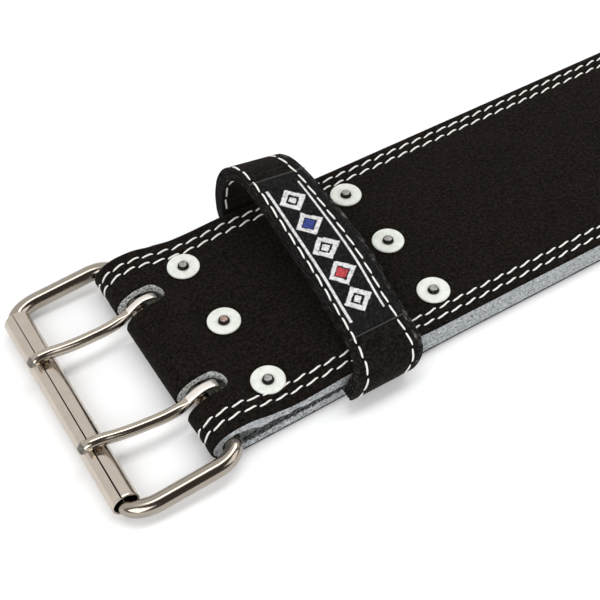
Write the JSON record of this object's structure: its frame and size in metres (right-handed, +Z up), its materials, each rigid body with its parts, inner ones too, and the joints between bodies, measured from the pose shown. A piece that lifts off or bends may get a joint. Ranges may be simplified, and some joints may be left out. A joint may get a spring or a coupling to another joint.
{
  "type": "weightlifting belt",
  "caption": "Thick leather weightlifting belt with a suede face, a roller buckle with wire prongs, a stitched keeper loop, riveted fold and prong holes; laid out flat.",
  "frame": {"origin": "centre of the laid-out belt's bounding box in plan, on the surface that it lies on", "axes": "+X along the belt from the buckle to the tongue, +Y across the belt, +Z up from the surface"},
  "size_m": [1.1128, 0.1236, 0.0386],
  "materials": {
    "black_suede": "black suede with a soft nap",
    "grey_leather": "raw grey cut edge of the leather core",
    "keeper_suede": "black suede with layered edges",
    "woven_label": "black woven satin label with white, red and blue thread",
    "nickel": "bright nickel plate",
    "rivet_steel": "dark plated steel",
    "washer_ivory": "ivory, slightly glossy"
  },
  "bodies": {
    "belt": {"leather_core": "grey_leather", "suede_facing": "black_suede", "keeper_loop": "keeper_suede", "keeper_label": "woven_label", "rivet_buckle_row_near": "rivet_steel", "rivet_buckle_row_mid": "rivet_steel", "rivet_buckle_row_far": "rivet_steel", "rivet_tongue_row_near": "rivet_steel", "rivet_tongue_row_mid": "rivet_steel", "rivet_tongue_row_far": "rivet_steel", "washer_buckle_row_near": "washer_ivory", "washer_buckle_row_mid": "washer_ivory", "washer_buckle_row_far": "washer_ivory", "washer_tongue_row_near": "washer_ivory", "washer_tongue_row_mid": "washer_ivory", "washer_tongue_row_far": "washer_ivory"},
    "frame": {"buckle_frame": "nickel"},
    "roller": {"roller": "nickel"},
    "prong_far": {"prong_far": "nickel"},
    "prong_near": {"prong_near": "nickel"}
  },
  "joints": [
    {"name": "frame_hinge", "type": "hinge", "parent": "belt", "child": "frame", "pos_m": [-0.50364, 0, 0.0083], "axis": [0, 1, 0], "range_deg": [0, 40]},
    {"name": "prong_far_hinge", "type": "hinge", "parent": "frame", "child": "prong_far", "pos_m": [-0.50364, 0.02635, 0.0083], "axis": [0, 1, 0], "range_deg": [0, 60]},
    {"name": "prong_near_hinge", "type": "hinge", "parent": "frame", "child": "prong_near", "pos_m": [-0.50364, -0.02765, 0.0083], "axis": [0, 1, 0], "range_deg": [0, 60]},
    {"name": "roller_spin", "type": "hinge", "parent": "frame", "child": "roller", "pos_m": [-0.54962, -0.0005, 0.0058], "axis": [0, 1, 0], "continuous": true}
  ]
}
